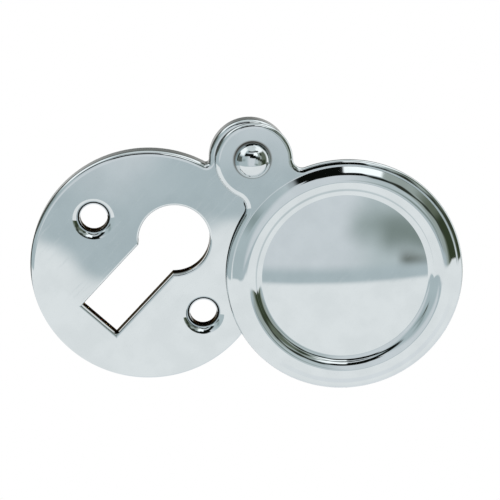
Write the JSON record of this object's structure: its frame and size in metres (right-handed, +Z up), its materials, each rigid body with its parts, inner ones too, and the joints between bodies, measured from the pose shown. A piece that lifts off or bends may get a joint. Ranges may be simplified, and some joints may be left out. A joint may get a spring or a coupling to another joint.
{
  "type": "covered keyhole escutcheon",
  "caption": "Round keyhole escutcheon in polished chrome: a screw-fixed backplate with a keyhole, and a moulded cover that swings on a rivet to close it.",
  "frame": {"origin": "centre of the backplate's back face, midway between the screw holes", "axes": "+Z up the door towards the pivot, +X to the right seen from the front, +Y into the door"},
  "size_m": [0.0525, 0.0061, 0.0492],
  "materials": {
    "plate_chrome": "polished",
    "cover_chrome": "polished",
    "rivet_chrome": "polished"
  },
  "bodies": {
    "plate": {"backplate": "plate_chrome", "pivot_rivet": "rivet_chrome"},
    "cover": {"swing_cover": "cover_chrome"}
  },
  "joints": [
    {"name": "cover_swing", "type": "hinge", "parent": "plate", "child": "cover", "pos_m": [0, -0.00308, 0.0204], "axis": [0, -1, 0], "continuous": true}
  ]
}
